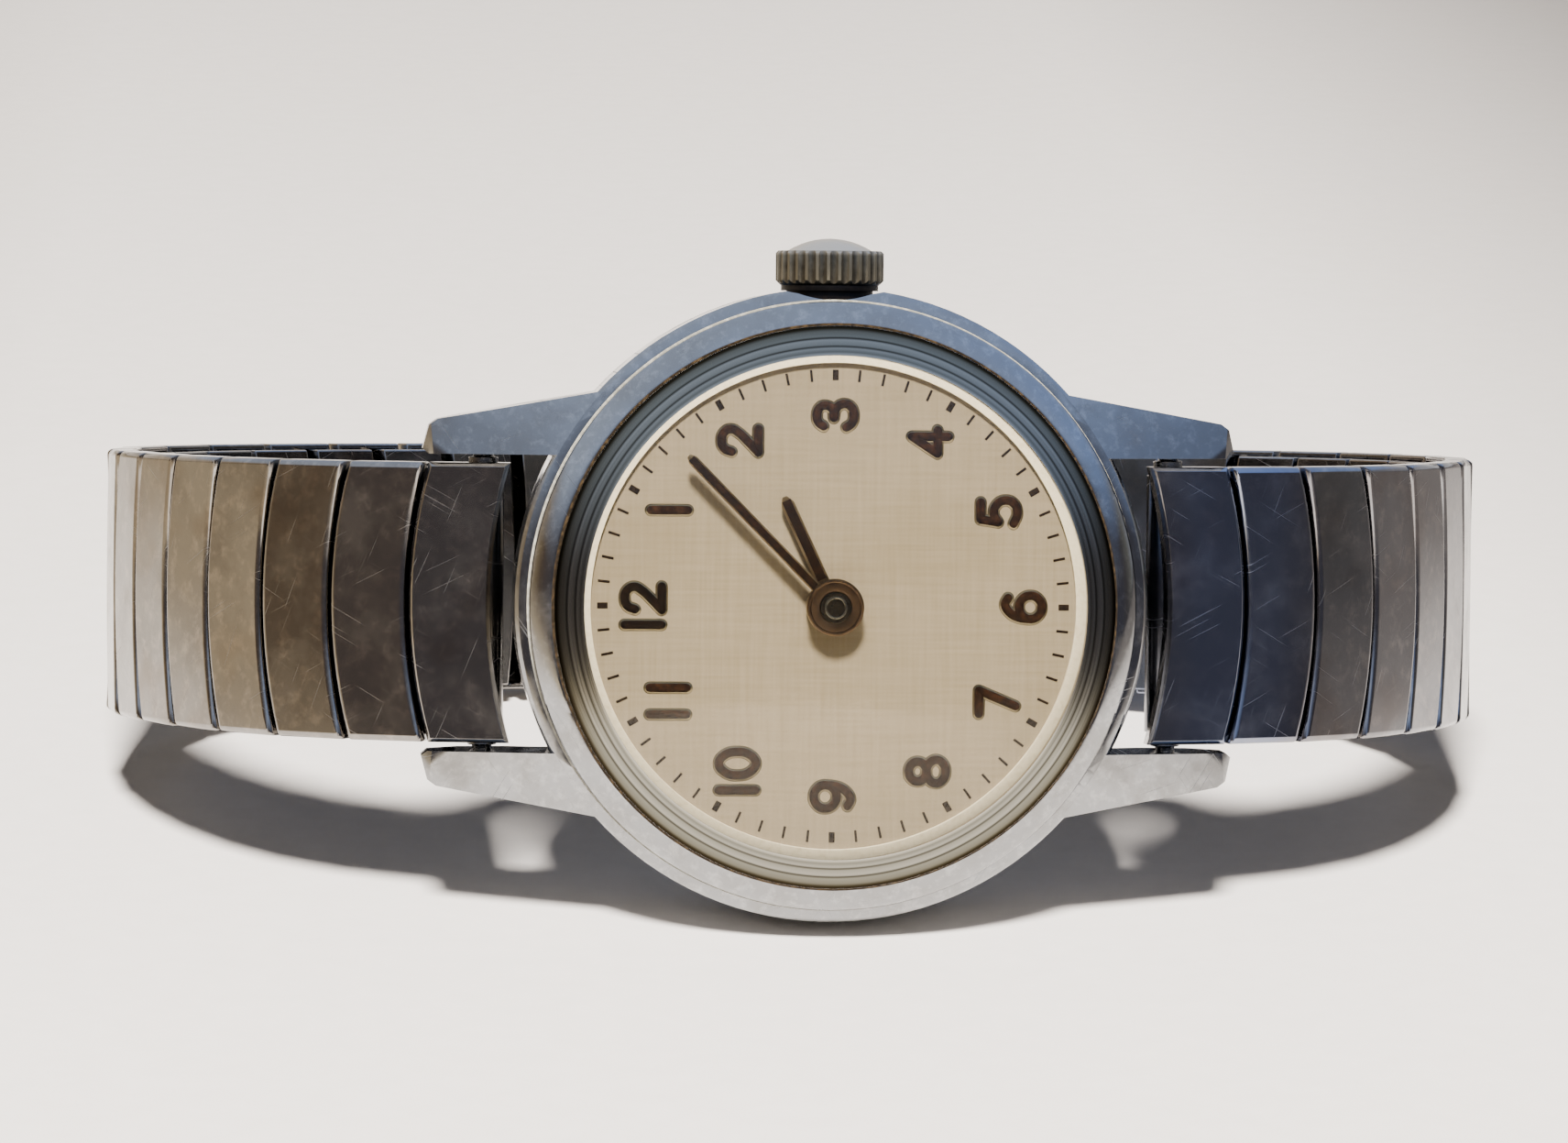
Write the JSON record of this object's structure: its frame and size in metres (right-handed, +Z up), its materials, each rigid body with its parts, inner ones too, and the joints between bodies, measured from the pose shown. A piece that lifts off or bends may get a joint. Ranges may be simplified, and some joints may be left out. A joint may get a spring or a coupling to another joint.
{
  "type": "wristwatch",
  "caption": "Small round hand-wound wristwatch with a domed crystal, two hands, a fluted crown and a polished expansion bracelet, standing on its bracelet.",
  "frame": {"origin": "on the floor under the middle of the bounding box, with the watch standing on its bracelet as pictured", "axes": "+Z up, the dial faces -Y and leans back, twelve o'clock points to -X, the crown points up"},
  "size_m": [0.0594, 0.0432, 0.0273],
  "materials": {
    "polished_metal": "polished chrome plate, worn",
    "back_steel": "plain stainless steel",
    "acrylic": "clear acrylic",
    "rubber": "black rubber",
    "crown_metal": "plated brass, worn and dirty",
    "brass": "plain brass",
    "nickel_ring": "plain metal",
    "dial_face": "fine cross-hatched silver-cream paint",
    "hand_metal": "dark metal with brown filling",
    "steel": "polished steel"
  },
  "bodies": {
    "case": {"case_body": "polished_metal", "bezel": "polished_metal", "crystal": "acrylic", "caseback": "back_steel", "caseback_gasket": "rubber", "crown_tube": "brass", "movement_ring": "nickel_ring", "dial": "dial_face", "main_plate": "brass", "pillars": "brass", "train_bridge": "brass", "balance_cock": "brass", "bridge_screws": "steel", "click": "steel", "click_spring": "steel", "hairspring": "steel", "spring_bars": "back_steel", "end_links": "polished_metal"},
    "winding_pinion": {"winding_pinion": "steel"},
    "crown": {"crown": "crown_metal", "crown_gasket": "rubber", "stem": "steel"},
    "crown_wheel": {"crown_wheel": "steel"},
    "ratchet": {"ratchet_wheel": "steel", "barrel_arbor": "steel"},
    "center": {"center_arbor": "steel", "center_wheel": "brass", "cannon_pinion": "steel", "minute_hand": "hand_metal"},
    "hour": {"hour_wheel": "brass", "hour_hand": "hand_metal"},
    "minute_wheel": {"minute_wheel": "brass"},
    "barrel": {"barrel_drum": "brass", "mainspring": "steel"},
    "third": {"third_wheel": "brass"},
    "fourth": {"fourth_wheel": "brass"},
    "escape": {"escape_wheel": "steel"},
    "fork": {"pallet_fork": "brass"},
    "balance": {"balance_wheel": "brass", "balance_staff": "steel"},
    "links_01": {"links_01": "polished_metal"},
    "links_02": {"links_02": "polished_metal"},
    "links_03": {"links_03": "polished_metal"},
    "links_04": {"links_04": "polished_metal"},
    "links_05": {"links_05": "polished_metal"},
    "links_06": {"links_06": "polished_metal"},
    "links_07": {"links_07": "polished_metal"},
    "links_08": {"links_08": "polished_metal"},
    "links_09": {"links_09": "polished_metal"},
    "links_10": {"links_10": "polished_metal"},
    "links_11": {"links_11": "polished_metal"},
    "links_12": {"links_12": "polished_metal"},
    "links_13": {"links_13": "polished_metal"},
    "links_14": {"links_14": "polished_metal"},
    "links_15": {"links_15": "polished_metal"},
    "links_16": {"links_16": "polished_metal"},
    "links_17": {"links_17": "polished_metal"},
    "links_18": {"links_18": "polished_metal"},
    "links_19": {"links_19": "polished_metal"}
  },
  "joints": [
    {"name": "crown_turn", "type": "hinge", "parent": "case", "child": "winding_pinion", "pos_m": [0, -0.0134, 0.01993], "axis": [0, 0.199, 0.98], "continuous": true},
    {"name": "crown_pull", "type": "slide", "parent": "winding_pinion", "child": "crown", "axis": [0, 0.199, 0.98], "range_m": [0, 0.0008]},
    {"name": "crown_wheel_turn", "type": "hinge", "parent": "case", "child": "crown_wheel", "pos_m": [0, -0.01197, 0.01716], "axis": [0, -0.98, 0.199], "continuous": true},
    {"name": "ratchet_turn", "type": "hinge", "parent": "case", "child": "ratchet", "pos_m": [-0.00436, -0.01246, 0.01476], "axis": [0, -0.98, 0.199], "continuous": true},
    {"name": "hands_turn", "type": "hinge", "parent": "case", "child": "center", "pos_m": [0, -0.018, 0.01332], "axis": [0, 0.98, -0.199], "continuous": true},
    {"name": "hour_turn", "type": "hinge", "parent": "case", "child": "hour", "pos_m": [0, -0.018, 0.01332], "axis": [0, 0.98, -0.199], "continuous": true},
    {"name": "minute_wheel_turn", "type": "hinge", "parent": "case", "child": "minute_wheel", "pos_m": [0.00193, -0.01652, 0.01536], "axis": [0, 0.98, -0.199], "continuous": true},
    {"name": "barrel_turn", "type": "hinge", "parent": "case", "child": "barrel", "pos_m": [-0.00436, -0.01461, 0.0152], "axis": [0, 0.98, -0.199], "continuous": true},
    {"name": "third_turn", "type": "hinge", "parent": "case", "child": "third", "pos_m": [0.00129, -0.01582, 0.00925], "axis": [0, 0.98, -0.199], "continuous": true},
    {"name": "fourth_turn", "type": "hinge", "parent": "case", "child": "fourth", "pos_m": [0.00425, -0.01566, 0.01003], "axis": [0, 0.98, -0.199], "continuous": true},
    {"name": "escape_turn", "type": "hinge", "parent": "case", "child": "escape", "pos_m": [0.00547, -0.01514, 0.01259], "axis": [0, 0.98, -0.199], "continuous": true},
    {"name": "fork_swing", "type": "hinge", "parent": "case", "child": "fork", "pos_m": [0.00471, -0.01468, 0.01488], "axis": [0, 0.98, -0.199], "range_deg": [-5, 5]},
    {"name": "balance_swing", "type": "hinge", "parent": "case", "child": "balance", "pos_m": [0.00427, -0.01406, 0.01793], "axis": [0, 0.98, -0.199], "range_deg": [-135, 135], "stiffness_Nm_per_rad": 0.00000004, "deforming": ["hairspring"]},
    {"name": "bracelet_stretch", "type": "slide", "parent": "case", "child": "links_10", "axis": [0, 0.98, -0.199], "range_m": [0, 0.008], "stiffness_N_per_m": 400},
    {"name": "links_01_stretch", "type": "slide", "parent": "case", "child": "links_01", "axis": [-0.9782, 0.2034, -0.0413], "range_m": [0, 0.00133]},
    {"name": "links_02_stretch", "type": "slide", "parent": "case", "child": "links_02", "axis": [-0.941, 0.3317, -0.0673], "range_m": [0, 0.0026]},
    {"name": "links_03_stretch", "type": "slide", "parent": "case", "child": "links_03", "axis": [-0.8679, 0.4869, -0.0989], "range_m": [0, 0.00417]},
    {"name": "links_04_stretch", "type": "slide", "parent": "case", "child": "links_04", "axis": [-0.7872, 0.6044, -0.1227], "range_m": [0, 0.00562]},
    {"name": "links_05_stretch", "type": "slide", "parent": "case", "child": "links_05", "axis": [-0.6913, 0.7081, -0.1438], "range_m": [0, 0.00683]},
    {"name": "links_06_stretch", "type": "slide", "parent": "case", "child": "links_06", "axis": [-0.57, 0.8052, -0.1635], "range_m": [0, 0.00758]},
    {"name": "links_07_stretch", "type": "slide", "parent": "case", "child": "links_07", "axis": [-0.434, 0.8829, -0.1793], "range_m": [0, 0.00784]},
    {"name": "links_08_stretch", "type": "slide", "parent": "case", "child": "links_08", "axis": [-0.292, 0.9373, -0.1903], "range_m": [0, 0.00797]},
    {"name": "links_09_stretch", "type": "slide", "parent": "case", "child": "links_09", "axis": [-0.1467, 0.9694, -0.1968], "range_m": [0, 0.00805]},
    {"name": "links_11_stretch", "type": "slide", "parent": "case", "child": "links_11", "axis": [0.1467, 0.9694, -0.1968], "range_m": [0, 0.00805]},
    {"name": "links_12_stretch", "type": "slide", "parent": "case", "child": "links_12", "axis": [0.292, 0.9373, -0.1903], "range_m": [0, 0.00797]},
    {"name": "links_13_stretch", "type": "slide", "parent": "case", "child": "links_13", "axis": [0.434, 0.8829, -0.1793], "range_m": [0, 0.00784]},
    {"name": "links_14_stretch", "type": "slide", "parent": "case", "child": "links_14", "axis": [0.57, 0.8052, -0.1635], "range_m": [0, 0.00758]},
    {"name": "links_15_stretch", "type": "slide", "parent": "case", "child": "links_15", "axis": [0.6913, 0.7081, -0.1438], "range_m": [0, 0.00683]},
    {"name": "links_16_stretch", "type": "slide", "parent": "case", "child": "links_16", "axis": [0.7872, 0.6044, -0.1227], "range_m": [0, 0.00562]},
    {"name": "links_17_stretch", "type": "slide", "parent": "case", "child": "links_17", "axis": [0.8679, 0.4869, -0.0989], "range_m": [0, 0.00417]},
    {"name": "links_18_stretch", "type": "slide", "parent": "case", "child": "links_18", "axis": [0.941, 0.3317, -0.0673], "range_m": [0, 0.0026]},
    {"name": "links_19_stretch", "type": "slide", "parent": "case", "child": "links_19", "axis": [0.9782, 0.2034, -0.0413], "range_m": [0, 0.00133]}
  ],
  "couplings": [
    {"joint": "crown_wheel_turn", "follows": "crown_turn", "ratio": 0.53846},
    {"joint": "ratchet_turn", "follows": "crown_turn", "ratio": -0.58333},
    {"joint": "hour_turn", "follows": "hands_turn", "ratio": 0.083333},
    {"joint": "minute_wheel_turn", "follows": "hands_turn", "ratio": -0.33333},
    {"joint": "barrel_turn", "follows": "hands_turn", "ratio": -0.16667},
    {"joint": "third_turn", "follows": "hands_turn", "ratio": -8},
    {"joint": "fourth_turn", "follows": "hands_turn", "ratio": 60},
    {"joint": "escape_turn", "follows": "hands_turn", "ratio": -600},
    {"joint": "links_01_stretch", "follows": "bracelet_stretch", "ratio": 0.16417},
    {"joint": "links_02_stretch", "follows": "bracelet_stretch", "ratio": 0.32221},
    {"joint": "links_03_stretch", "follows": "bracelet_stretch", "ratio": 0.51639},
    {"joint": "links_04_stretch", "follows": "bracelet_stretch", "ratio": 0.69543},
    {"joint": "links_05_stretch", "follows": "bracelet_stretch", "ratio": 0.84542},
    {"joint": "links_06_stretch", "follows": "bracelet_stretch", "ratio": 0.93832},
    {"joint": "links_07_stretch", "follows": "bracelet_stretch", "ratio": 0.97081},
    {"joint": "links_08_stretch", "follows": "bracelet_stretch", "ratio": 0.9867},
    {"joint": "links_09_stretch", "follows": "bracelet_stretch", "ratio": 0.99663},
    {"joint": "links_11_stretch", "follows": "bracelet_stretch", "ratio": 0.99663},
    {"joint": "links_12_stretch", "follows": "bracelet_stretch", "ratio": 0.9867},
    {"joint": "links_13_stretch", "follows": "bracelet_stretch", "ratio": 0.97081},
    {"joint": "links_14_stretch", "follows": "bracelet_stretch", "ratio": 0.93832},
    {"joint": "links_15_stretch", "follows": "bracelet_stretch", "ratio": 0.84542},
    {"joint": "links_16_stretch", "follows": "bracelet_stretch", "ratio": 0.69543},
    {"joint": "links_17_stretch", "follows": "bracelet_stretch", "ratio": 0.51639},
    {"joint": "links_18_stretch", "follows": "bracelet_stretch", "ratio": 0.32221},
    {"joint": "links_19_stretch", "follows": "bracelet_stretch", "ratio": 0.16417}
  ]
}
